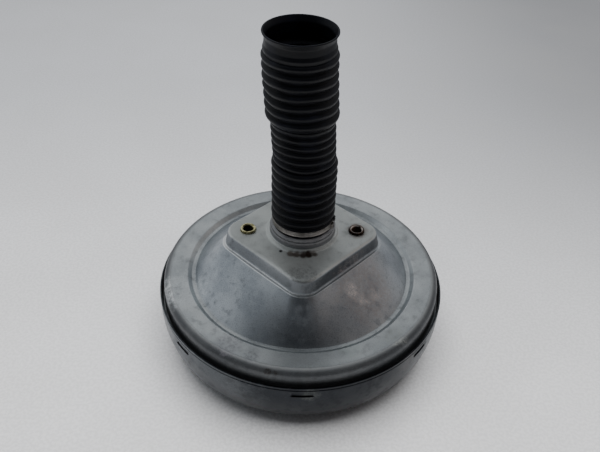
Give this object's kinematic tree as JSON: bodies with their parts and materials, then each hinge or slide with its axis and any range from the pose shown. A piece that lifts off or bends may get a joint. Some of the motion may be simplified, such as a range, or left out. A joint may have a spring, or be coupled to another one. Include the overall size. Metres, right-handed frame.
{
  "type": "brake booster",
  "caption": "Vacuum brake booster: pressed steel housing with square mounting face, bellows boot, power piston, control valve, pedal rod and vacuum check valve.",
  "frame": {"origin": "centre of the bore for the master cylinder, on the outer face of its mounting pad", "axes": "+Z along the rod towards the brake pedal, X through both pairs of threaded bushings, +Y towards the vacuum nipple"},
  "size_m": [0.24, 0.2642, 0.281],
  "materials": {
    "galvanised_steel": "zinc plated, matt",
    "pressed_steel": "bare pressed steel",
    "plated_bushing": "yellow passivated",
    "machined_steel": "turned",
    "spring_steel": "oiled",
    "clamp_steel": "dull stainless",
    "boot_rubber": "satin",
    "black_rubber": "matt",
    "guide_plastic": "moulded",
    "valve_body_plastic": "moulded phenolic",
    "check_valve_plastic": "moulded nylon",
    "filter_felt": "felt",
    "silencer_foam": "open foam"
  },
  "bodies": {
    "housing": {"front_shell": "galvanised_steel", "rear_shell": "galvanised_steel", "front_reinforcement": "pressed_steel", "rear_reinforcement": "pressed_steel", "front_bushings": "plated_bushing", "rear_bushings": "plated_bushing", "guide_bush": "guide_plastic", "shaft_seal": "black_rubber", "spring_seat": "pressed_steel", "boot_clamp": "clamp_steel", "check_valve_grommet": "black_rubber", "check_valve_body": "check_valve_plastic", "check_valve_seat": "black_rubber", "check_valve_spring": "spring_steel", "boot_bellows": "boot_rubber"},
    "power_piston": {"valve_body": "valve_body_plastic", "support_plate": "pressed_steel", "diaphragm": "black_rubber", "reaction_disc": "black_rubber", "output_rod": "machined_steel", "output_tip_screw": "machined_steel", "output_rod_retainer": "pressed_steel", "stop_key": "pressed_steel", "poppet_retainer": "pressed_steel", "poppet_bellow": "black_rubber", "poppet_spring": "spring_steel", "rod_return_spring": "spring_steel", "air_filter": "filter_felt", "silencer": "silencer_foam", "filter_cap": "check_valve_plastic", "return_spring": "spring_steel"},
    "air_valve": {"air_valve_plunger": "machined_steel"},
    "pedal_rod": {"input_rod": "machined_steel", "lock_nut": "plated_bushing", "clevis": "machined_steel"},
    "poppet_valve": {"poppet": "black_rubber", "poppet_insert": "pressed_steel"},
    "check_disc": {"check_valve_disc": "black_rubber"},
    "boot_top": {"boot_mouth": "boot_rubber"}
  },
  "joints": [
    {"name": "piston_slide", "type": "slide", "parent": "housing", "child": "power_piston", "axis": [0, 0, -1], "range_m": [0, 0.032], "stiffness_N_per_m": 4000, "springref_m": -0.03, "deforming": ["return_spring", "diaphragm"]},
    {"name": "plunger_slide", "type": "slide", "parent": "power_piston", "child": "air_valve", "axis": [0, 0, -1], "range_m": [0, 0.002], "stiffness_N_per_m": 3000, "springref_m": -0.01, "deforming": ["rod_return_spring"]},
    {"name": "rod_tilt", "type": "hinge", "parent": "air_valve", "child": "pedal_rod", "pos_m": [0, 0, 0.1084], "axis": [1, 0, 0], "range_deg": [-2.5, 2.5], "stiffness_Nm_per_rad": 2},
    {"name": "poppet_slide", "type": "slide", "parent": "power_piston", "child": "poppet_valve", "axis": [0, 0, -1], "range_m": [0, 0.0009], "stiffness_N_per_m": 400, "springref_m": -0.004, "deforming": ["poppet_bellow", "poppet_spring"]},
    {"name": "check_disc_slide", "type": "slide", "parent": "housing", "child": "check_disc", "axis": [0, 1, 0], "range_m": [0, 0.0015], "stiffness_N_per_m": 150, "springref_m": -0.003, "deforming": ["check_valve_spring"]},
    {"name": "boot_slide", "type": "slide", "parent": "housing", "child": "boot_top", "axis": [0, 0, -1], "range_m": [0, 0.052], "stiffness_N_per_m": 300, "deforming": ["boot_bellows"]}
  ],
  "couplings": [
    {"joint": "poppet_slide", "follows": "plunger_slide", "ratio": 0.45}
  ]
}
